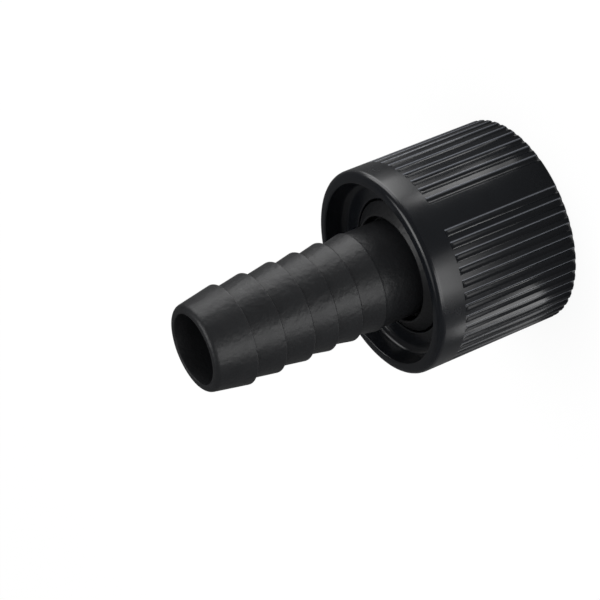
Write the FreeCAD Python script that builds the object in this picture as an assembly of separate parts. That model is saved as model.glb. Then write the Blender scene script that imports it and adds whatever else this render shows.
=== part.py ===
import FreeCAD, Part
import math
import os

# Hose adapter: a barbed hose tail held in a ribbed union nut, with a flat sealing washer.
# The part stands on the nut's open end. +Z runs along the common axis, towards the tail's tip.
# The origin is on the axis, in the plane of the open end. All sizes are in millimetres.

# Union nut, thread socket: a one-inch pipe thread, bored to its major radius
thread_major_radius = 16.62
thread_ridge_height = 1.47
undercut_depth = 0.3
socket_mouth_chamfer = 0.8

# Union nut, outside
nut_height = 32.4
nut_wall = 4.38
rim_chamfer = 0.8
open_end_chamfer = 0.3

# Union nut, recess in the front face, and the lip that carries the tail
recess_depth = 4.75
rim_width = 2.4
recess_draft = 0.5
recess_edge_chamfer = 0.3
recess_corner_chamfer = 1.4
lip_thickness = 3.0
lip_overlap = 1.15

# Union nut, grip grooves, in two fields with a smooth panel between them on each side
grooves_per_field = 24
panel_angle = 20.0
groove_depth = 0.42
groove_width = 1.5
groove_end_slope_length = 0.45
smooth_band_height = 6.0

# Hose tail, flange and hub
axial_play = 0.2
flange_clearance = 0.15
flange_thickness = 3.0
swivel_clearance = 0.35
hub_edge_below_floor = 0.1
hub_rise = 2.0
relief_width = 0.9
relief_depth = 3.0

# Hose tail, bore, neck and barbs, for a hose of 19 mm inside
bore_radius = 7.1
neck_wall = 2.75
neck_height = 12.55
barb_root_wall = 2.0
barb_step = 1.05
lower_barb_pitch = 5.4
lower_barb_count = 3
upper_barb_pitch = 6.3
upper_barb_count = 2
lead_barb_length = 8.3
tip_wall = 1.55
tip_rounding = 1.2

# Sealing washer
washer_thickness = 2.0
washer_squeeze = 0.05
washer_seat_width = 5.2
washer_to_thread_gap = 0.45

# Radii that follow from the sizes above
thread_minor_radius = thread_major_radius - thread_ridge_height
undercut_radius = thread_major_radius + undercut_depth
nut_radius = thread_major_radius + nut_wall
recess_mouth_radius = nut_radius - rim_width
recess_floor_radius = recess_mouth_radius - recess_draft
flange_radius = thread_minor_radius - flange_clearance
lip_hole_radius = flange_radius - lip_overlap
hub_radius = lip_hole_radius - swivel_clearance
neck_radius = bore_radius + neck_wall
relief_outer_radius = neck_radius + relief_width
barb_root_radius = bore_radius + barb_root_wall
barb_crest_radius = barb_root_radius + barb_step
tip_radius = bore_radius + tip_wall
washer_radius = thread_minor_radius + washer_squeeze
washer_hole_radius = washer_radius - washer_seat_width

# Heights that follow
recess_floor = nut_height - recess_depth
lip_underside = recess_floor - lip_thickness
flange_top = lip_underside - axial_play
flange_bottom = flange_top - flange_thickness
washer_bottom = flange_bottom - washer_thickness
thread_top = washer_bottom - washer_to_thread_gap
groove_end = nut_height - smooth_band_height
hub_edge = recess_floor - hub_edge_below_floor
hub_face_top = hub_edge + hub_rise
relief_bottom = hub_face_top - relief_depth
lowest_shoulder = flange_top + neck_height

# The tip's rounding may take up this share of its wall
wall_share_for_rounding = 0.9

origin = FreeCAD.Vector(0, 0, 0)
up = FreeCAD.Vector(0, 0, 1)


def turned(corners):
    """Solid of revolution about the axis, from the (radius, height) corners of half its section."""
    points = [FreeCAD.Vector(radius, 0, height) for radius, height in corners]
    section = Part.Face(Part.makePolygon(points + points[:1]))
    return section.revolve(origin, up, 360)


def nut_blank():
    """Moulded nut before its grip: thread socket below, lip, and the recess in the front face."""
    return turned([
        (thread_major_radius + socket_mouth_chamfer, 0),
        (nut_radius - open_end_chamfer, 0),
        (nut_radius, open_end_chamfer),
        (nut_radius, nut_height - rim_chamfer),
        (nut_radius - rim_chamfer, nut_height),
        (recess_mouth_radius + recess_edge_chamfer, nut_height),
        (recess_mouth_radius, nut_height - recess_edge_chamfer),
        (recess_floor_radius, recess_floor + recess_corner_chamfer),
        (recess_floor_radius - recess_corner_chamfer, recess_floor),
        (lip_hole_radius, recess_floor),
        (lip_hole_radius, lip_underside),
        (undercut_radius, lip_underside),
        (undercut_radius, thread_top),
        (thread_major_radius, thread_top - undercut_depth),
        (thread_major_radius, socket_mouth_chamfer),
    ])


def grip_groove():
    """Cutter of one V groove on the +X side, open at the nut's end and sloping out at the smooth band."""
    floor = nut_radius - groove_depth
    proud = nut_radius + groove_depth
    half_width = groove_width / 2 * (proud - floor) / groove_depth
    start = -groove_depth
    floor_end = groove_end - groove_end_slope_length
    proud_end = groove_end + groove_end_slope_length
    keel = [FreeCAD.Vector(floor, 0, start), FreeCAD.Vector(floor, 0, floor_end)]
    left = [FreeCAD.Vector(proud, half_width, start), FreeCAD.Vector(proud, half_width, proud_end)]
    right = [FreeCAD.Vector(proud, -half_width, start), FreeCAD.Vector(proud, -half_width, proud_end)]
    sides = [
        [keel[0], left[0], right[0]],
        [keel[1], right[1], left[1]],
        [keel[0], keel[1], left[1], left[0]],
        [keel[0], right[0], right[1], keel[1]],
        [left[0], left[1], right[1], right[0]],
    ]
    faces = [Part.Face(Part.makePolygon(side + side[:1])) for side in sides]
    cutter = Part.Solid(Part.Shell(faces))
    if cutter.Volume < 0:
        cutter.reverse()
    return cutter


def groove_angles():
    """Angles of all the grooves: two equal fields, parted by smooth panels on the +X and -X sides."""
    pitch = (180 - panel_angle) / (grooves_per_field - 1)
    for side in (0, 180):
        for i in range(grooves_per_field):
            yield side + panel_angle / 2 + i * pitch


def union_nut():
    """The nut with its grip grooves cut."""
    cutters = []
    for angle in groove_angles():
        cutter = grip_groove()
        cutter.rotate(origin, up, angle)
        cutters.append(cutter)
    return nut_blank().cut(cutters)


def shoulder_heights():
    """Heights of the barbs' shoulders, from the neck up."""
    heights = [lowest_shoulder]
    for pitch, count in ((lower_barb_pitch, lower_barb_count), (upper_barb_pitch, upper_barb_count)):
        for i in range(count):
            heights.append(heights[-1] + pitch)
    return heights


def hose_tail():
    """Hose tail: flange, hub with a relief round the neck, and barbs that narrow towards the tip."""
    section = [
        (bore_radius, flange_bottom),
        (flange_radius, flange_bottom),
        (flange_radius, flange_top),
        (hub_radius, flange_top),
        (hub_radius, hub_edge),
        (relief_outer_radius, hub_face_top),
        (relief_outer_radius, relief_bottom),
        (neck_radius, relief_bottom),
        (neck_radius, lowest_shoulder),
    ]
    shoulders = shoulder_heights()
    for shoulder, next_shoulder in zip(shoulders, shoulders[1:]):
        section.append((barb_crest_radius, shoulder))
        section.append((barb_root_radius, next_shoulder))
    tip = shoulders[-1] + lead_barb_length
    section += [
        (barb_crest_radius, shoulders[-1]),
        (tip_radius, tip),
        (bore_radius, tip),
    ]
    tail = turned(section)
    circles = [edge for edge in tail.Edges if isinstance(edge.Curve, Part.Circle)]
    tip_circles = [edge for edge in circles if math.isclose(edge.Curve.Center.z, tip)]
    tip_corner = max(tip_circles, key=lambda edge: edge.Curve.Radius)
    rounding = min(tip_rounding, tip_wall * wall_share_for_rounding)
    return tail.makeFillet(rounding, [tip_corner])


def sealing_washer():
    """Flat washer, lying against the underside of the tail's flange."""
    return turned([
        (washer_hole_radius, washer_bottom),
        (washer_radius, washer_bottom),
        (washer_radius, flange_bottom),
        (washer_hole_radius, flange_bottom),
    ])


pieces = {
    "hose_tail": hose_tail(),
    "union_nut": union_nut(),
    "sealing_washer": sealing_washer(),
}

os.makedirs("parts", exist_ok=True)
for name, piece in pieces.items():
    piece.Solids[0].exportStep("parts/" + name + ".step")
    print(name, "solids", len(piece.Solids), "valid", piece.isValid(), "volume", round(piece.Volume, 2))
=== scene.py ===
import math

import bpy
from mathutils import Matrix, Vector


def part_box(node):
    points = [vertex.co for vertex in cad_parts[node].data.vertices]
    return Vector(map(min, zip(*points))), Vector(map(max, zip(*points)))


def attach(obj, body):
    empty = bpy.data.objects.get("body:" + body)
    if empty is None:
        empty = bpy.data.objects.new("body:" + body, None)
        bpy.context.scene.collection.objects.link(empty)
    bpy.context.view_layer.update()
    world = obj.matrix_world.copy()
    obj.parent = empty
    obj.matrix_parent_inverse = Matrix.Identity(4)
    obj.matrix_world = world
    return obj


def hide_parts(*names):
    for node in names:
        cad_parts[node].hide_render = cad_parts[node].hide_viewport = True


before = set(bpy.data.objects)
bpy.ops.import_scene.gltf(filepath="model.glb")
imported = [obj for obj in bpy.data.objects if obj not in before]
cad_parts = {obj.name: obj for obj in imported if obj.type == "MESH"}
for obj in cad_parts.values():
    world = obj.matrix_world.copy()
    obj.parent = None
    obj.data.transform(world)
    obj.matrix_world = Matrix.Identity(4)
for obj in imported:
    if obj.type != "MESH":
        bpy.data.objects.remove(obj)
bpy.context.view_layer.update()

# Hose tail: one black moulding, from the flange held behind the nut's lip to the six barbs for the hose.
# It is injection moulded in a glass-filled plastic, in a mould with a spark-eroded, matte finish.
# It is a turned shape, so a Geometry Nodes tree rounds its section's corners and turns it about the axis.
mm = 0.001


def put_node(tree, kind, inputs=None, **settings):
    """Add a node with its settings, then link or set its inputs, which are given by number or name."""
    node = tree.nodes.new(kind)
    for name, value in settings.items():
        setattr(node, name, value)
    for key, value in (inputs or {}).items():
        if isinstance(value, bpy.types.NodeSocket):
            tree.links.new(value, node.inputs[key])
        else:
            node.inputs[key].default_value = value
    return node


def put_math(tree, operation, *values):
    """Add a Math node and return its result."""
    return put_node(tree, "ShaderNodeMath", dict(enumerate(values)), operation=operation).outputs[0]


def put_sockets(tree, in_or_out, sockets):
    """Give a tree or group its named sockets, each with its kind and, for an input, its first value."""
    for name, kind, *first_value in sockets:
        socket = tree.interface.new_socket(name, in_out=in_or_out, socket_type=kind)
        if first_value:
            socket.default_value = first_value[0]


def half_section(name, corners, guard=0.15 * mm, most_of_flat=0.6):
    """Closed outline of half a moulding's section, from (radius, height, rounding) corners.

    A point beside each rounding keeps the flat next to it flat when the moulding is shaded smooth,
    unless the rounding takes up most of that flat.
    """
    points = [Vector((radius, 0, height)) for radius, height, rounding in corners]
    outline = []
    for i, (radius, height, rounding) in enumerate(corners):
        back = points[i - 1] - points[i]
        ahead = points[(i + 1) % len(points)] - points[i]
        reach = rounding / math.tan(back.angle(ahead) / 2) + guard
        if rounding and reach < back.length * most_of_flat:
            outline.append((points[i] + back.normalized() * reach, 0))
        outline.append((points[i], rounding))
        if rounding and reach < ahead.length * most_of_flat:
            outline.append((points[i] + ahead.normalized() * reach, 0))
    mesh = bpy.data.meshes.new(name)
    edges = [(i, (i + 1) % len(outline)) for i in range(len(outline))]
    mesh.from_pydata([point for point, rounding in outline], edges, [])
    roundings = mesh.attributes.new("rounding", "FLOAT", "POINT")
    roundings.data.foreach_set("value", [rounding for point, rounding in outline])
    moulding = bpy.data.objects.new(name, mesh)
    bpy.context.scene.collection.objects.link(moulding)
    return moulding


def turning_group():
    """Geometry group that rounds a half section's corners and turns it about Z through a full circle."""
    group = bpy.data.node_groups.new("turned moulding", "GeometryNodeTree")
    put_sockets(group, "INPUT", [
        ("Half Section", "NodeSocketGeometry"),
        ("Columns", "NodeSocketInt", 180),
        ("Facets a Rounding", "NodeSocketInt", 5),
        ("Angle", "NodeSocketFloat"),
    ])
    put_sockets(group, "OUTPUT", [("Moulding", "NodeSocketGeometry")])
    given = put_node(group, "NodeGroupInput").outputs
    curve = put_node(group, "GeometryNodeMeshToCurve", {"Mesh": given["Half Section"]}).outputs[0]
    rounding = put_node(group, "GeometryNodeInputNamedAttribute", {"Name": "rounding"}).outputs[0]
    rounded = put_node(group, "GeometryNodeFilletCurve", {
        "Curve": curve,
        "Count": given["Facets a Rounding"],
        "Radius": rounding,
        "Limit Radius": True,
    }, mode="POLY").outputs[0]
    size = put_node(group, "GeometryNodeAttributeDomainSize", {"Geometry": rounded}, component="CURVE")
    rows = size.outputs["Point Count"]
    sheet = put_node(group, "GeometryNodeMeshGrid", {
        "Size X": 1.0,
        "Size Y": 1.0,
        "Vertices X": put_math(group, "ADD", given["Columns"], 1),
        "Vertices Y": put_math(group, "ADD", rows, 1),
    }).outputs[0]
    place = put_node(group, "GeometryNodeInputPosition").outputs[0]
    across = put_node(group, "ShaderNodeSeparateXYZ", {0: place}).outputs
    share_along = put_math(group, "ADD", across["Y"], 0.5)
    row = put_math(group, "ROUND", put_math(group, "MULTIPLY", share_along, rows))
    sampled = put_node(group, "GeometryNodeSampleIndex", data_type="FLOAT_VECTOR", domain="POINT")
    group.links.new(rounded, sampled.inputs["Geometry"])
    group.links.new(place, sampled.inputs["Value"])
    group.links.new(put_math(group, "MODULO", row, rows), sampled.inputs["Index"])
    section = put_node(group, "ShaderNodeSeparateXYZ", {0: sampled.outputs[0]}).outputs
    turned = put_node(group, "ShaderNodeCombineXYZ", {
        "X": put_math(group, "MULTIPLY", section["X"], put_math(group, "COSINE", given["Angle"])),
        "Y": put_math(group, "MULTIPLY", section["X"], put_math(group, "SINE", given["Angle"])),
        "Z": section["Z"],
    }).outputs[0]
    shaped = put_node(group, "GeometryNodeSetPosition", {0: sheet, "Position": turned}).outputs[0]
    seam = {0: shaped, "Distance": 0.001 * mm}
    closed = put_node(group, "GeometryNodeMergeByDistance", seam).outputs[0]
    put_node(group, "NodeGroupOutput", {0: closed})
    return group


turned_moulding = turning_group()


def column_share(tree):
    """How far round a column of the turned sheet stands, from 0 to 1."""
    place = put_node(tree, "GeometryNodeInputPosition").outputs[0]
    return put_math(tree, "ADD", put_node(tree, "ShaderNodeSeparateXYZ", {0: place}).outputs["X"], 0.5)


def finish_tree(tree, geometry, sharp_from=32):
    """End a tree: shade it smooth up to an angle in degrees, realize it and give it its material."""
    given = next(node for node in tree.nodes if node.bl_idname == "NodeGroupInput").outputs
    smooth = put_node(tree, "GeometryNodeSetShadeSmooth", {0: geometry, "Shade Smooth": True}).outputs[0]
    angle = put_node(tree, "GeometryNodeInputMeshEdgeAngle").outputs["Unsigned Angle"]
    sharp = put_math(tree, "GREATER_THAN", angle, math.radians(sharp_from))
    creased = put_node(tree, "GeometryNodeSetShadeSmooth", {
        0: smooth,
        "Selection": sharp,
        "Shade Smooth": False,
    }, domain="EDGE").outputs[0]
    real = put_node(tree, "GeometryNodeRealizeInstances", {0: creased}).outputs[0]
    coloured = {0: real, "Material": given["Material"]}
    finished = put_node(tree, "GeometryNodeSetMaterial", coloured).outputs[0]
    put_node(tree, "NodeGroupOutput", {0: finished})


def make_piece(piece, tree, sizes):
    """Run a tree on a piece with its sizes set, keep the mesh that comes out, and drop the modifier.

    A mesh that starts from a grid has an empty material slot before its own, which is taken out.
    """
    modifier = piece.modifiers.new(tree.name, "NODES")
    modifier.node_group = tree
    for socket in tree.interface.items_tree:
        if socket.item_type == "SOCKET" and socket.in_out == "INPUT" and socket.name in sizes:
            modifier[socket.identifier] = sizes[socket.name]
    depsgraph = bpy.context.evaluated_depsgraph_get()
    mesh = bpy.data.meshes.new_from_object(piece.evaluated_get(depsgraph))
    piece.modifiers.remove(modifier)
    if mesh.materials[0] is None:
        mesh.materials.pop(index=0)
    piece.data = mesh
    return piece


tail_low, tail_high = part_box("hose_tail")
tail_bottom = tail_low.z
tip = tail_high.z
flange_radius = tail_high.x
flange_thickness = 3.0 * mm
bore_radius = 7.1 * mm
hub_radius = 13.5 * mm
hub_height = 6.1 * mm
hub_rise = 2.0 * mm
hub_edge = tail_bottom + hub_height
hub_face = hub_edge + hub_rise
relief_radius = 10.75 * mm
relief_depth = 3.0 * mm
relief_bottom = hub_face - relief_depth
neck_radius = 9.85 * mm
neck_height = 12.55 * mm
lowest_shoulder = tail_bottom + flange_thickness + neck_height
barb_pitches = (5.4 * mm, 5.4 * mm, 5.4 * mm, 6.3 * mm, 6.3 * mm)
barb_root_radius = 9.1 * mm
barb_root_rounding = 0.12 * mm
barb_crest_radius = 10.15 * mm
barb_crest_rounding = 0.25 * mm
tip_radius = 8.65 * mm
tip_rounding = 1.2 * mm

tail_corners = [
    (bore_radius, tail_bottom, 0.2 * mm),
    (flange_radius, tail_bottom, 0.3 * mm),
    (flange_radius, tail_bottom + flange_thickness, 0.3 * mm),
    (hub_radius, tail_bottom + flange_thickness, 0),
    (hub_radius, hub_edge, 0.25 * mm),
    (relief_radius, hub_face, 0.3 * mm),
    (relief_radius, relief_bottom, 0.4 * mm),
    (neck_radius, relief_bottom, 0.4 * mm),
    (neck_radius, lowest_shoulder, 0.15 * mm),
]
shoulder = lowest_shoulder
for pitch in barb_pitches:
    tail_corners.append((barb_crest_radius, shoulder, barb_crest_rounding))
    shoulder += pitch
    tail_corners.append((barb_root_radius, shoulder, barb_root_rounding))
tail_corners += [
    (barb_crest_radius, shoulder, barb_crest_rounding),
    (tip_radius, tip, tip_rounding),
    (bore_radius, tip, 0.25 * mm),
]

tail_tree = bpy.data.node_groups.new("hose tail", "GeometryNodeTree")
put_sockets(tail_tree, "INPUT", [
    ("Half Section", "NodeSocketGeometry"),
    ("Columns", "NodeSocketInt", 180),
    ("Facets a Rounding", "NodeSocketInt", 5),
    ("Material", "NodeSocketMaterial"),
])
put_sockets(tail_tree, "OUTPUT", [("Geometry", "NodeSocketGeometry")])
tail_given = put_node(tail_tree, "NodeGroupInput").outputs
tail_shape = put_node(tail_tree, "GeometryNodeGroup", node_tree=turned_moulding)
for name in ("Half Section", "Columns", "Facets a Rounding"):
    tail_tree.links.new(tail_given[name], tail_shape.inputs[name])
tail_angle = put_math(tail_tree, "MULTIPLY", column_share(tail_tree), math.tau)
tail_tree.links.new(tail_angle, tail_shape.inputs["Angle"])
finish_tree(tail_tree, tail_shape.outputs[0])


def moulded_skin_group():
    """Shader group for a moulded skin: fine pits, cloudy patches and scattered small marks.

    It gives a height for a Bump node, and masks from 0 to 1 for the patches and the marks.
    """
    group = bpy.data.node_groups.new("moulded skin", "ShaderNodeTree")
    put_sockets(group, "INPUT", [
        ("Vector", "NodeSocketVector"),
        ("Pits per Metre", "NodeSocketFloat", 4000.0),
        ("Patches per Metre", "NodeSocketFloat", 150.0),
        ("Marks per Metre", "NodeSocketFloat", 260.0),
        ("Mark Size", "NodeSocketFloat", 0.03),
        ("Mark Rarity", "NodeSocketFloat", 0.75),
        ("Mark Height", "NodeSocketFloat", 1.5),
    ])
    put_sockets(group, "OUTPUT", [
        ("Height", "NodeSocketFloat"),
        ("Patches", "NodeSocketFloat"),
        ("Marks", "NodeSocketFloat"),
    ])
    given = put_node(group, "NodeGroupInput").outputs
    pits = put_node(group, "ShaderNodeTexNoise", {
        "Vector": given["Vector"],
        "Scale": given["Pits per Metre"],
        "Detail": 2.0,
    }).outputs[0]
    patches = put_node(group, "ShaderNodeTexNoise", {
        "Vector": given["Vector"],
        "Scale": given["Patches per Metre"],
        "Detail": 4.0,
        "Roughness": 0.6,
    }).outputs[0]
    cells = put_node(group, "ShaderNodeTexVoronoi", {
        "Vector": given["Vector"],
        "Scale": given["Marks per Metre"],
    }).outputs
    cell_colour = put_node(group, "ShaderNodeSeparateColor", {0: cells["Color"]}).outputs
    rare = put_math(group, "GREATER_THAN", cell_colour[0], given["Mark Rarity"])
    near = put_math(group, "LESS_THAN", cells["Distance"], given["Mark Size"])
    marks = put_math(group, "MULTIPLY", rare, near)
    height = put_math(group, "MULTIPLY_ADD", marks, given["Mark Height"], pits)
    put_node(group, "NodeGroupOutput", {0: height, 1: patches, 2: marks})
    return group


moulded_skin = moulded_skin_group()


def moulded_plastic(name, colour, worn_colour, roughness, gloss, pits, bump):
    """Black plastic with a moulded skin: colour and roughness vary in patches, and marks show paler."""
    roughness_spread = 0.04
    patch_tint = 0.3
    pit_depth = 0.095 * mm
    material = bpy.data.materials.new(name)
    material.use_nodes = True
    tree = material.node_tree
    shader = tree.nodes["Principled BSDF"]
    shader.inputs["Specular IOR Level"].default_value = gloss
    place = put_node(tree, "ShaderNodeTexCoord").outputs["Object"]
    mapped = put_node(tree, "ShaderNodeMapping", {"Vector": place}).outputs[0]
    skin = put_node(tree, "ShaderNodeGroup", node_tree=moulded_skin)
    tree.links.new(mapped, skin.inputs["Vector"])
    skin.inputs["Pits per Metre"].default_value = pits
    patchy = put_node(tree, "ShaderNodeMapRange", {
        "Value": skin.outputs["Patches"],
        "From Min": 0.3,
        "From Max": 0.7,
        "To Min": roughness - roughness_spread,
        "To Max": roughness + roughness_spread,
    }).outputs[0]
    tree.links.new(patchy, shader.inputs["Roughness"])
    share = put_math(tree, "MULTIPLY_ADD", skin.outputs["Patches"], patch_tint, skin.outputs["Marks"])
    tint = put_node(tree, "ShaderNodeMix", data_type="RGBA")
    tree.links.new(share, tint.inputs["Factor"])
    tint.inputs["A"].default_value = (*colour, 1)
    tint.inputs["B"].default_value = (*worn_colour, 1)
    tree.links.new(tint.outputs["Result"], shader.inputs["Base Color"])
    relief = put_node(tree, "ShaderNodeBump", {
        "Strength": bump,
        "Distance": pit_depth,
        "Height": skin.outputs["Height"],
    }).outputs[0]
    tree.links.new(relief, shader.inputs["Normal"])
    return material


tail_plastic = moulded_plastic(
    "matte black tail plastic",
    colour=(0.0085, 0.0088, 0.0098),
    worn_colour=(0.024, 0.026, 0.029),
    roughness=0.42,
    gloss=0.4,
    pits=900.0,
    bump=1.0,
)
hose_tail = make_piece(half_section("hose_tail_moulding", tail_corners), tail_tree, {
    "Columns": 180,
    "Facets a Rounding": 5,
    "Material": tail_plastic,
})
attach(hose_tail, "tail")
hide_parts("hose_tail")

# Union nut: one black moulding that turns on the tail's hub and screws on a one-inch pipe thread.
# It is moulded in the same plastic with a satin finish, with two fields of grooves for the grip.
# The tree turns its section with columns set to the grooves, then presses the grooves into its wall.
nut_low, nut_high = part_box("union_nut")
nut_radius = nut_high.x
nut_height = nut_high.z
thread_radius = 16.62 * mm
thread_top = 19.0 * mm
undercut = 0.3 * mm
socket_mouth_chamfer = 0.8 * mm
rim_width = 2.4 * mm
rim_rounding = 1.3 * mm
recess_depth = 4.75 * mm
recess_draft = 0.5 * mm
recess_mouth_radius = nut_radius - rim_width
recess_floor_radius = recess_mouth_radius - recess_draft
recess_floor = nut_height - recess_depth
lip_thickness = 3.0 * mm
lip_underside = recess_floor - lip_thickness
lip_hole_radius = 13.85 * mm
smooth_band_height = 6.0 * mm
groove_end = nut_height - smooth_band_height
groove_end_slope = 0.45 * mm
grooves_a_field = 24
panel_angle = math.radians(20)
groove_pitch = (math.pi - panel_angle) / (grooves_a_field - 1)
groove_width = 1.5 * mm
groove_depth = 0.42 * mm
groove_edge_rounding = 0.05 * mm
# Width of the pale line along one edge of each groove: partly edge wear, partly a painted highlight.
edge_wear_and_highlight_width = 0.14 * mm

# Columns of the mesh, as distances from a groove's middle to the middle of a rib, crowded at its edge
column_distances = [
    distance * mm for distance in (0, 0.2, 0.4, 0.55, 0.66, 0.71, 0.75, 0.79, 0.86, 1.0, 1.28)
]
columns_a_pitch = 2 * (len(column_distances) - 1)
columns_a_panel = columns_a_pitch + 12

nut_corners = [
    (thread_radius + socket_mouth_chamfer, nut_low.z, 0.2 * mm),
    (nut_radius, nut_low.z, 0.35 * mm),
    (nut_radius, groove_end - 2 * groove_end_slope, 0),
    (nut_radius, groove_end - groove_end_slope, 0),
    (nut_radius, groove_end - 0.66 * groove_end_slope, 0),
    (nut_radius, groove_end - 0.33 * groove_end_slope, 0),
    (nut_radius, groove_end, 0),
    (nut_radius, groove_end + 0.5 * groove_end_slope, 0),
    (nut_radius, nut_height, rim_rounding),
    (recess_mouth_radius, nut_height, 0.3 * mm),
    (recess_floor_radius, recess_floor, 1.7 * mm),
    (lip_hole_radius, recess_floor, 0.3 * mm),
    (lip_hole_radius, lip_underside, 0.2 * mm),
    (thread_radius + undercut, lip_underside, 0.3 * mm),
    (thread_radius + undercut, thread_top, 0),
    (thread_radius, thread_top - undercut, 0),
    (thread_radius, nut_low.z + socket_mouth_chamfer, 0),
]

nut_tree = bpy.data.node_groups.new("union nut", "GeometryNodeTree")
put_sockets(nut_tree, "INPUT", [
    ("Half Section", "NodeSocketGeometry"),
    ("Facets a Rounding", "NodeSocketInt", 6),
    ("Grooves a Field", "NodeSocketInt", 24),
    ("Columns a Pitch", "NodeSocketInt", 20),
    ("Columns a Panel", "NodeSocketInt", 32),
    ("Groove Pitch", "NodeSocketFloat"),
    ("Panel Angle", "NodeSocketFloat"),
    ("Outside Radius", "NodeSocketFloat"),
    ("Groove Depth", "NodeSocketFloat"),
    ("Groove Width", "NodeSocketFloat"),
    ("Groove End", "NodeSocketFloat"),
    ("End Slope Length", "NodeSocketFloat"),
    ("Edge Rounding", "NodeSocketFloat"),
    ("Worn Edge Width", "NodeSocketFloat"),
    ("Material", "NodeSocketMaterial"),
])
put_sockets(nut_tree, "OUTPUT", [("Geometry", "NodeSocketGeometry")])


def half_turn_columns(tree, given):
    """Columns in half a turn, and how many of them its field of grooves takes."""
    gaps = put_math(tree, "SUBTRACT", given["Grooves a Field"], 1)
    in_field = put_math(tree, "MULTIPLY", gaps, given["Columns a Pitch"])
    return put_math(tree, "ADD", in_field, given["Columns a Panel"]), in_field


def crowded_at_edges(tree, pitches):
    """Shift columns, given in pitches from the first groove, so that they crowd at the grooves' edges.

    A column in the middle of a rib goes with the groove before it.
    """
    tie_break = 0.001
    nearest_groove = put_math(tree, "ROUND", put_math(tree, "SUBTRACT", pitches, tie_break))
    off_groove = put_math(tree, "SUBTRACT", pitches, nearest_groove)
    spacing = put_node(tree, "ShaderNodeFloatCurve", {
        "Value": put_math(tree, "MULTIPLY", put_math(tree, "ABSOLUTE", off_groove), 2),
    })
    points = spacing.mapping.curves[0].points
    for i, distance in enumerate(column_distances[1:-1]):
        points.new((i + 1) / (len(column_distances) - 1), distance / column_distances[-1])
    for point in points:
        point.handle_type = "VECTOR"
    spacing.mapping.update()
    side = put_math(tree, "SIGN", off_groove)
    half_pitches = put_math(tree, "MULTIPLY", spacing.outputs[0], 0.5)
    shifted = put_math(tree, "MULTIPLY", half_pitches, side)
    return put_math(tree, "ADD", nearest_groove, shifted)


def groove_aligned_angle(tree, given):
    """Angle of each column: crowded at the edges of the grooves, and evenly spaced on the panels.

    Half a pitch on either side of a panel is crowded too, because its border grooves have two edges.
    """
    margin = 0.1
    half, in_field = half_turn_columns(tree, given)
    column = put_math(tree, "MULTIPLY", column_share(tree), put_math(tree, "MULTIPLY", half, 2))
    turn = put_math(tree, "FLOOR", put_math(tree, "DIVIDE", put_math(tree, "ADD", column, margin), half))
    local = put_math(tree, "SUBTRACT", column, put_math(tree, "MULTIPLY", turn, half))
    half_pitch = put_math(tree, "MULTIPLY", given["Columns a Pitch"], 0.5)
    panel_start = put_math(tree, "ADD", in_field, half_pitch)
    panel_end = put_math(tree, "SUBTRACT", half, half_pitch)

    before_panel = put_math(tree, "MINIMUM", local, panel_start)
    pitches_before = put_math(tree, "DIVIDE", before_panel, given["Columns a Pitch"])
    crowded_before = crowded_at_edges(tree, pitches_before)
    past_panel = put_math(tree, "MAXIMUM", put_math(tree, "SUBTRACT", local, panel_end), 0)
    pitches_past = put_math(tree, "DIVIDE", past_panel, given["Columns a Pitch"])
    crowded_past = crowded_at_edges(tree, put_math(tree, "SUBTRACT", pitches_past, 0.5))
    pitches = put_math(tree, "ADD", put_math(tree, "ADD", crowded_before, crowded_past), 0.5)
    crowded_angle = put_math(tree, "MULTIPLY", pitches, given["Groove Pitch"])

    on_panel = put_math(tree, "SUBTRACT", put_math(tree, "MINIMUM", local, panel_end), panel_start)
    panel_columns = put_math(tree, "SUBTRACT", given["Columns a Panel"], given["Columns a Pitch"])
    panel_span = put_math(tree, "SUBTRACT", given["Panel Angle"], given["Groove Pitch"])
    panel_step = put_math(tree, "DIVIDE", panel_span, panel_columns)
    panel_angle_here = put_math(tree, "MULTIPLY", put_math(tree, "MAXIMUM", on_panel, 0), panel_step)

    first_groove = put_math(tree, "MULTIPLY", given["Panel Angle"], 0.5)
    start = put_math(tree, "MULTIPLY_ADD", turn, math.pi, first_groove)
    return put_math(tree, "ADD", put_math(tree, "ADD", start, crowded_angle), panel_angle_here)


def off_groove_centre(tree, given, place):
    """Distance of a point, round the wall, past the middle of its nearest groove; negative before it."""
    angle = put_math(tree, "ARCTAN2", place["Y"], place["X"])
    half_turn = put_math(tree, "FLOORED_MODULO", angle, math.pi)
    first_groove = put_math(tree, "MULTIPLY", given["Panel Angle"], 0.5)
    past_first = put_math(tree, "SUBTRACT", half_turn, first_groove)
    steps = put_math(tree, "DIVIDE", past_first, given["Groove Pitch"])
    last = put_math(tree, "SUBTRACT", given["Grooves a Field"], 1)
    from_first = put_math(tree, "MAXIMUM", put_math(tree, "ROUND", steps), 0)
    nearest = put_math(tree, "MINIMUM", from_first, last)
    steps_off = put_math(tree, "SUBTRACT", steps, nearest)
    turn_off = put_math(tree, "MULTIPLY", steps_off, given["Groove Pitch"])
    return put_math(tree, "MULTIPLY", turn_off, given["Outside Radius"])


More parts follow.
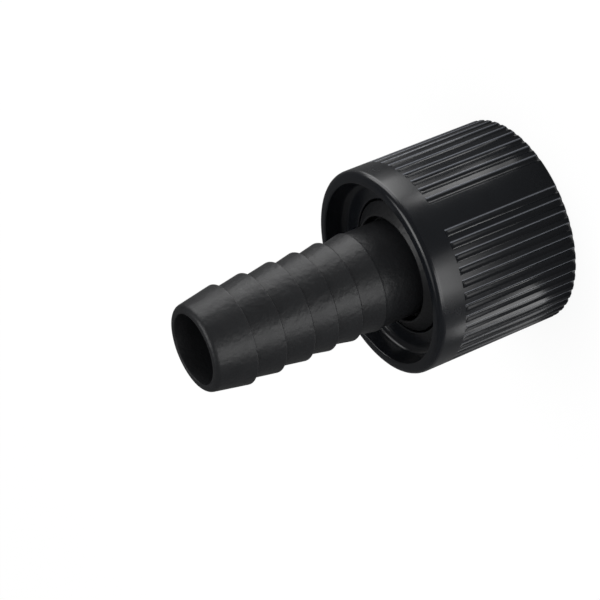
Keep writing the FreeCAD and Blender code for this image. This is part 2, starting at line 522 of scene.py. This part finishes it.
def groove_depth_here(tree, given, place, off_centre):
    """Depth of the grip grooves at a point of the wall: round-bottomed, and sloping out at their end."""
    half_width = put_math(tree, "MULTIPLY", given["Groove Width"], 0.5)
    deepest = given["Groove Depth"]
    half_width_squared = put_math(tree, "POWER", half_width, 2)
    squares = put_math(tree, "ADD", half_width_squared, put_math(tree, "POWER", deepest, 2))
    round_radius = put_math(tree, "DIVIDE", squares, put_math(tree, "MULTIPLY", deepest, 2))
    inside = put_math(tree, "MINIMUM", put_math(tree, "ABSOLUTE", off_centre), half_width)
    radius_squared = put_math(tree, "POWER", round_radius, 2)
    rise_squared = put_math(tree, "SUBTRACT", radius_squared, put_math(tree, "POWER", inside, 2))
    rise = put_math(tree, "SQRT", rise_squared)
    centre_height = put_math(tree, "SUBTRACT", round_radius, deepest)
    round_depth = put_math(tree, "SUBTRACT", rise, centre_height)
    before_end = put_math(tree, "SUBTRACT", given["Groove End"], place["Z"])
    sloped = put_math(tree, "MULTIPLY", before_end, deepest)
    end_depth = put_math(tree, "DIVIDE", sloped, given["End Slope Length"])
    depth = put_math(tree, "SMOOTH_MIN", round_depth, end_depth, given["Edge Rounding"])
    return put_math(tree, "MAXIMUM", depth, 0.0)


def edge_wear_and_highlight_here(tree, given, place, off_centre):
    """Share, from 0 to 1, of a pale line along one edge of each groove: partly edge wear and partly a
    painted highlight.
    """
    half_width = put_math(tree, "MULTIPLY", given["Groove Width"], 0.5)
    off_edge = put_math(tree, "ABSOLUTE", put_math(tree, "SUBTRACT", off_centre, half_width))
    widths_off = put_math(tree, "DIVIDE", off_edge, given["Worn Edge Width"])
    closeness = put_math(tree, "SUBTRACT", 1, widths_off)
    in_field = put_math(tree, "LESS_THAN", place["Z"], given["Groove End"])
    return put_math(tree, "MULTIPLY", put_math(tree, "MAXIMUM", closeness, 0), in_field)


nut_given = put_node(nut_tree, "NodeGroupInput").outputs
nut_shape = put_node(nut_tree, "GeometryNodeGroup", node_tree=turned_moulding)
nut_tree.links.new(nut_given["Half Section"], nut_shape.inputs["Half Section"])
nut_tree.links.new(nut_given["Facets a Rounding"], nut_shape.inputs["Facets a Rounding"])
half_columns = half_turn_columns(nut_tree, nut_given)[0]
nut_tree.links.new(put_math(nut_tree, "MULTIPLY", half_columns, 2), nut_shape.inputs["Columns"])
nut_tree.links.new(groove_aligned_angle(nut_tree, nut_given), nut_shape.inputs["Angle"])
nut_place = put_node(nut_tree, "GeometryNodeInputPosition").outputs[0]
nut_point = put_node(nut_tree, "ShaderNodeSeparateXYZ", {0: nut_place}).outputs
nut_x_squared = put_math(nut_tree, "POWER", nut_point["X"], 2)
nut_y_squared = put_math(nut_tree, "POWER", nut_point["Y"], 2)
wall_radius = put_math(nut_tree, "SQRT", put_math(nut_tree, "ADD", nut_x_squared, nut_y_squared))
groove_offset = off_groove_centre(nut_tree, nut_given, nut_point)
depth_here = groove_depth_here(nut_tree, nut_given, nut_point, groove_offset)
groove_floor = put_math(nut_tree, "SUBTRACT", nut_given["Outside Radius"], depth_here)
pressed_radius = put_math(nut_tree, "MINIMUM", wall_radius, groove_floor)
pressed = put_math(nut_tree, "DIVIDE", pressed_radius, wall_radius)
pressed_place = put_node(nut_tree, "ShaderNodeCombineXYZ", {
    "X": put_math(nut_tree, "MULTIPLY", nut_point["X"], pressed),
    "Y": put_math(nut_tree, "MULTIPLY", nut_point["Y"], pressed),
    "Z": nut_point["Z"],
}).outputs[0]
just_inside = put_math(nut_tree, "SUBTRACT", nut_given["Outside Radius"], 0.01 * mm)
on_wall = put_math(nut_tree, "GREATER_THAN", wall_radius, just_inside)
# The pale line along one edge of each groove is partly edge wear and partly a painted highlight, which
# stands in for the lamps' glint on that edge.
wear_and_highlight_here = edge_wear_and_highlight_here(nut_tree, nut_given, nut_point, groove_offset)
wear_and_highlight = put_math(nut_tree, "MULTIPLY", wear_and_highlight_here, on_wall)
marked = put_node(nut_tree, "GeometryNodeStoreNamedAttribute", {
    "Geometry": nut_shape.outputs[0],
    "Name": "edge wear and painted highlight",
    "Value": wear_and_highlight,
}, data_type="FLOAT", domain="POINT").outputs[0]
grooved = put_node(nut_tree, "GeometryNodeSetPosition", {0: marked, "Position": pressed_place})
finish_tree(nut_tree, grooved.outputs[0])

nut_plastic = moulded_plastic(
    "satin black nut plastic",
    colour=(0.004, 0.0048, 0.0064),
    worn_colour=(0.0072, 0.0086, 0.011),
    roughness=0.24,
    gloss=0.5,
    pits=2500.0,
    bump=0.03,
)
nut_shading = nut_plastic.node_tree
nut_colour = nut_shading.nodes["Principled BSDF"].inputs["Base Color"]
colour_off_edges = nut_colour.links[0].from_socket
# Painted highlight: along one edge of each groove the colour is lifted to a pale grey for the lamps'
# glint on that edge, together with some edge wear.
edge_wear_and_highlight = put_node(nut_shading, "ShaderNodeAttribute", attribute_name="edge wear and painted highlight").outputs["Fac"]
edge_wear_and_highlight_tint = put_node(nut_shading, "ShaderNodeMix", data_type="RGBA")
nut_shading.links.new(edge_wear_and_highlight, edge_wear_and_highlight_tint.inputs["Factor"])
nut_shading.links.new(colour_off_edges, edge_wear_and_highlight_tint.inputs["A"])
edge_wear_and_highlight_tint.inputs["B"].default_value = (0.19, 0.2, 0.225, 1)
nut_shading.links.new(edge_wear_and_highlight_tint.outputs["Result"], nut_colour)

union_nut = make_piece(half_section("union_nut_moulding", nut_corners), nut_tree, {
    "Facets a Rounding": 6,
    "Grooves a Field": grooves_a_field,
    "Columns a Pitch": columns_a_pitch,
    "Columns a Panel": columns_a_panel,
    "Groove Pitch": groove_pitch,
    "Panel Angle": panel_angle,
    "Outside Radius": nut_radius,
    "Groove Depth": groove_depth,
    "Groove Width": groove_width,
    "Groove End": groove_end,
    "End Slope Length": groove_end_slope,
    "Edge Rounding": groove_edge_rounding,
    "Worn Edge Width": edge_wear_and_highlight_width,
    "Material": nut_plastic,
})
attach(union_nut, "nut")
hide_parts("union_nut")

# Thread of the union nut: a right-handed one-inch pipe thread, moulded in one with the nut.
# Its ridge has flanks a little under 60 degrees apart and a rounded crest, and fades out at both ends.
# The tree winds a helix up the socket and sweeps the ridge's section along it.
thread_pitch = 25.4 / 11 * mm
ridge_height = 1.47 * mm
ridge_foot = 0.12 * mm
lead_in = 1.9 * mm
run_out = 1.6 * mm
thread_start = nut_low.z + lead_in
thread_end = thread_top - run_out
thread_turns = (thread_end - thread_start) / thread_pitch
facets_a_turn = 72
fade_share = 0.05
size_at_ends = 0.12
thread_half_angle = math.radians(27.5)
flank_run = ridge_height * math.tan(thread_half_angle)
crest_half_width = 0.25 * mm

thread_tree = bpy.data.node_groups.new("nut thread", "GeometryNodeTree")
put_sockets(thread_tree, "INPUT", [
    ("Ridge Section", "NodeSocketGeometry"),
    ("Radius", "NodeSocketFloat"),
    ("Start Height", "NodeSocketFloat"),
    ("Rise", "NodeSocketFloat"),
    ("Turns", "NodeSocketFloat"),
    ("Facets a Turn", "NodeSocketInt", 72),
    ("Fade Share", "NodeSocketFloat", 0.05),
    ("Size at Ends", "NodeSocketFloat", 0.12),
    ("Material", "NodeSocketMaterial"),
])
put_sockets(thread_tree, "OUTPUT", [("Geometry", "NodeSocketGeometry")])
thread_given = put_node(thread_tree, "NodeGroupInput").outputs
helix = put_node(thread_tree, "GeometryNodeCurveSpiral", {
    "Resolution": thread_given["Facets a Turn"],
    "Rotations": thread_given["Turns"],
    "Start Radius": thread_given["Radius"],
    "End Radius": thread_given["Radius"],
    "Height": thread_given["Rise"],
}).outputs[0]
upright = put_node(thread_tree, "GeometryNodeSetCurveNormal", {0: helix}, mode="Z_UP").outputs[0]
raised = put_node(thread_tree, "ShaderNodeCombineXYZ", {"Z": thread_given["Start Height"]}).outputs[0]
placed = put_node(thread_tree, "GeometryNodeSetPosition", {0: upright, "Offset": raised}).outputs[0]
along = put_node(thread_tree, "GeometryNodeSplineParameter").outputs["Factor"]
to_nearest_end = put_math(thread_tree, "MINIMUM", along, put_math(thread_tree, "SUBTRACT", 1, along))
fade = put_node(thread_tree, "ShaderNodeMapRange", {
    "Value": to_nearest_end,
    "From Min": 0.0,
    "From Max": thread_given["Fade Share"],
    "To Min": thread_given["Size at Ends"],
    "To Max": 1.0,
}, interpolation_type="SMOOTHSTEP").outputs[0]
ridge_section = thread_given["Ridge Section"]
ridge_curve = put_node(thread_tree, "GeometryNodeMeshToCurve", {0: ridge_section}).outputs[0]
ridge = put_node(thread_tree, "GeometryNodeCurveToMesh", {
    "Curve": placed,
    "Profile Curve": ridge_curve,
    "Scale": fade,
    "Fill Caps": True,
}).outputs[0]
finish_tree(thread_tree, ridge)

ridge_mesh = bpy.data.meshes.new("nut_thread")
crest_points = 5
foot_half_width = flank_run + crest_half_width
ridge_outline = [(-ridge_foot, foot_half_width), (-ridge_foot, -foot_half_width)]
for i in range(crest_points):
    turn = math.pi * (i / (crest_points - 1) - 0.5)
    ridge_outline.append((
        ridge_height - crest_half_width + crest_half_width * math.cos(turn),
        crest_half_width * math.sin(turn),
    ))
ridge_mesh.from_pydata(
    [(inward, upward, 0) for inward, upward in ridge_outline],
    [(i, (i + 1) % len(ridge_outline)) for i in range(len(ridge_outline))],
    [],
)
nut_thread = bpy.data.objects.new("nut_thread", ridge_mesh)
bpy.context.scene.collection.objects.link(nut_thread)
make_piece(nut_thread, thread_tree, {
    "Radius": thread_radius,
    "Start Height": thread_start,
    "Rise": thread_end - thread_start,
    "Turns": thread_turns,
    "Facets a Turn": facets_a_turn,
    "Fade Share": fade_share,
    "Size at Ends": size_at_ends,
    "Material": nut_plastic,
})
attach(nut_thread, "nut")

# Sealing washer: a flat ring stamped from black rubber sheet, lying under the tail's flange.
# The thread's ridge holds it in the nut, and the pipe's end presses it on the flange.
washer_low, washer_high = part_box("sealing_washer")
washer_hole_radius = 10.0 * mm
washer_rounding = 0.12 * mm
washer_corners = [
    (washer_hole_radius, washer_low.z, washer_rounding),
    (washer_high.x, washer_low.z, washer_rounding),
    (washer_high.x, washer_high.z, washer_rounding),
    (washer_hole_radius, washer_high.z, washer_rounding),
]
washer_rubber = moulded_plastic(
    "dull black washer rubber",
    colour=(0.016, 0.016, 0.016),
    worn_colour=(0.04, 0.04, 0.04),
    roughness=0.7,
    gloss=0.3,
    pits=6000.0,
    bump=0.1,
)
sealing_washer = make_piece(half_section("sealing_washer_ring", washer_corners), tail_tree, {
    "Columns": 120,
    "Facets a Rounding": 3,
    "Material": washer_rubber,
})
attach(sealing_washer, "tail")
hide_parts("sealing_washer")

# Floor and surroundings: a wide white floor under the part, in plain soft light from all round.
# Rays from the camera, and those that mirrors and glass would send on, see it as plain white.
# Seen from below it is clear, so that the part's open end shows too.
floor_reach = 3.0
floor_gap = 0.05 * mm
floor_brightness = 0.9
floor_top = nut_low.z - floor_gap
floor_mesh = bpy.data.meshes.new("floor")
floor_mesh.from_pydata(
    [(x * floor_reach, y * floor_reach, floor_top) for x, y in ((-1, -1), (1, -1), (1, 1), (-1, 1))],
    [],
    [(0, 1, 2, 3)],
)
floor = bpy.data.objects.new("floor", floor_mesh)
bpy.context.scene.collection.objects.link(floor)
floor_white = bpy.data.materials.new("white floor")
floor_white.use_nodes = True
floor_tree = floor_white.node_tree
floor_tree.nodes.clear()


def seen_share(tree):
    """1 for rays that show the surroundings: from the camera, and from glossy or clear surfaces."""
    ray = put_node(tree, "ShaderNodeLightPath").outputs
    mirrored = put_math(tree, "MAXIMUM", ray["Is Glossy Ray"], ray["Is Transmission Ray"])
    return put_math(tree, "MAXIMUM", ray["Is Camera Ray"], mirrored)


floor_matte = put_node(floor_tree, "ShaderNodeBsdfDiffuse", {"Color": (0.1, 0.1, 0.1, 1)}).outputs[0]
floor_glow = put_node(floor_tree, "ShaderNodeEmission", {
    "Color": (1, 1, 1, 1),
    "Strength": put_math(floor_tree, "MULTIPLY", seen_share(floor_tree), floor_brightness),
}).outputs[0]
floor_front = put_node(floor_tree, "ShaderNodeAddShader", {0: floor_matte, 1: floor_glow}).outputs[0]
floor_clear = put_node(floor_tree, "ShaderNodeBsdfTransparent").outputs[0]
from_below = put_node(floor_tree, "ShaderNodeNewGeometry").outputs["Backfacing"]
floor_mix = put_node(floor_tree, "ShaderNodeMixShader", {0: from_below, 1: floor_front, 2: floor_clear})
put_node(floor_tree, "ShaderNodeOutputMaterial", {0: floor_mix.outputs[0]})
floor_mesh.materials.append(floor_white)

surroundings = bpy.data.worlds.new("white studio")
bpy.context.scene.world = surroundings
surroundings.use_nodes = True
world_tree = surroundings.node_tree
world_tree.nodes.clear()
soft_light = 0.8
extra_when_seen = 0.2
world_light = put_node(world_tree, "ShaderNodeBackground", {
    "Color": (1, 1, 1, 1),
    "Strength": put_math(world_tree, "MULTIPLY_ADD", seen_share(world_tree), extra_when_seen, soft_light),
}).outputs[0]
put_node(world_tree, "ShaderNodeOutputWorld", {0: world_light})

# Dark tent: black card round the part, on the floor and up all sides to an opening at the top.
# It only shows in the part's gloss, which stays dark between the lamps' highlights.
card_lift = 0.05 * mm
card_profile = ((nut_radius + 0.1 * mm, card_lift), (0.8, card_lift), (0.8, 0.9), (0.4, 1.2))
card_mesh = bpy.data.meshes.new("dark card")
card_sides = 96
card_rings = []
for radius, rise in card_profile:
    for i in range(card_sides):
        turn = math.tau * i / card_sides
        card_rings.append((radius * math.cos(turn), radius * math.sin(turn), nut_low.z + rise))
card_faces = []
for ring in (0, card_sides, 2 * card_sides):
    for i in range(card_sides):
        after = (i + 1) % card_sides
        card_faces.append((ring + i, ring + card_sides + i, ring + card_sides + after, ring + after))
card_mesh.from_pydata(card_rings, [], card_faces)
card = bpy.data.objects.new("dark card", card_mesh)
bpy.context.scene.collection.objects.link(card)
card.visible_camera = False
card.visible_diffuse = False
card.visible_shadow = False
card_black = bpy.data.materials.new("black card")
card_black.use_nodes = True
card_shader = card_black.node_tree.nodes["Principled BSDF"]
card_shader.inputs["Base Color"].default_value = (0.15, 0.15, 0.15, 1)
card_shader.inputs["Roughness"].default_value = 0.9
card_shader.inputs["Specular IOR Level"].default_value = 0.0
card_mesh.materials.append(card_black)

# Lamps: one soft box overhead, an upright panel on either side, and flat strips lying round the part.
# The panels light the tail's sides, and the strips give the long highlights on the nut's sides and rim.


def add_softbox(name, place, looks_at, width, length, power):
    """Rectangular soft lamp at a place, facing a point."""
    lamp = bpy.data.lights.new(name, "AREA")
    lamp.shape = "RECTANGLE"
    lamp.size = width
    lamp.size_y = length
    lamp.energy = power
    softbox = bpy.data.objects.new(name, lamp)
    bpy.context.scene.collection.objects.link(softbox)
    aim = (Vector(looks_at) - Vector(place)).to_track_quat("-Z", "Y")
    softbox.matrix_world = Matrix.Translation(place) @ aim.to_matrix().to_4x4()
    softbox.visible_camera = False
    return softbox


add_softbox(
    "overhead softbox",
    place=(0.1, 0.25, 0.9),
    looks_at=(0, 0, 0.03),
    width=0.5,
    length=0.5,
    power=2.5,
)

# Each upright panel has an azimuth in degrees from the camera's, a width and a radiance
view_azimuth = math.radians(-15.8)
panel_distance = 0.5
panel_rise = 0.1
panel_height = 0.2
for side, azimuth, width, radiance in (("left", 88, 0.42, 3.2), ("right", -36, 0.3, 3.2)):
    turn = view_azimuth + math.radians(azimuth)
    panel_place = (panel_distance * math.cos(turn), panel_distance * math.sin(turn), panel_rise)
    power = radiance * math.pi * width * panel_height
    add_softbox(side + " panel", panel_place, (0, 0, panel_rise), width, panel_height, power)

# Each strip has its two ends and its width in millimetres, and a radiance. The ends are measured from
# the axis, towards the camera and across. Later strips lie a little higher and cover earlier ones.
lowest_strip = 0.3
strip_step = 0.1
strips = (
    ("left close", (22, 17), (29, 31), 4, 1.9),
    ("left near", (26, 26), (42, 55), 12, 1.7),
    ("left near inner", (29, 31), (42, 55), 10, 2.9),
    ("left middle", (18, 62), (27, 100), 62, 0.9),
    ("left middle inner", (20, 64), (26, 100), 38, 1.9),
    ("left far", (9, 96), (26, 300), 140, 3.6),
    ("right beside", (15, -28), (4, -66), 16, 2.2),
    ("right near", (50, -28), (93, -51), 56, 1.1),
    ("right near inner", (58, -32), (93, -51), 36, 1.5),
    ("right far", (90, -52), (254, -159), 95, 3.6),
)
for i, (side, near_end, far_end, width, radiance) in enumerate(strips):
    near_end = Vector((*near_end, 0)) * mm
    far_end = Vector((*far_end, 0)) * mm
    along = far_end - near_end
    power = radiance * math.pi * width * mm * along.length
    strip = add_softbox(side + " strip", (0, 0, 0), (0, 0, 1), along.length, width * mm, power)
    facing_up = Matrix.Rotation(math.pi, 4, "X")
    turned_along = Matrix.Rotation(view_azimuth + math.atan2(along.y, along.x), 4, "Z")
    above_floor = Vector((0, 0, lowest_strip + strip_step * i)) * mm
    middle = Matrix.Rotation(view_azimuth, 4, "Z") @ (near_end + along / 2) + above_floor
    strip.matrix_world = Matrix.Translation(middle) @ turned_along @ facing_up

# Camera: where the photograph was taken from, above the part and turned on its side,
# so that the tail points down to the left and the nut stands at the upper right.
camera_place = Vector((401.52, -113.23, 241.93)) * mm
looked_at = Vector((-6.435, 2.936, 46.571)) * mm
camera_roll = math.radians(-112.17)
lens = bpy.data.cameras.new("camera")
lens.sensor_width = 36
lens.lens = 144.14
camera = bpy.data.objects.new("camera", lens)
bpy.context.scene.collection.objects.link(camera)
looking = (looked_at - camera_place).to_track_quat("-Z", "Y").to_matrix().to_4x4()
camera.matrix_world = Matrix.Translation(camera_place) @ looking @ Matrix.Rotation(camera_roll, 4, "Z")
bpy.context.scene.camera = camera
bpy.context.scene.view_settings.view_transform = "Standard"
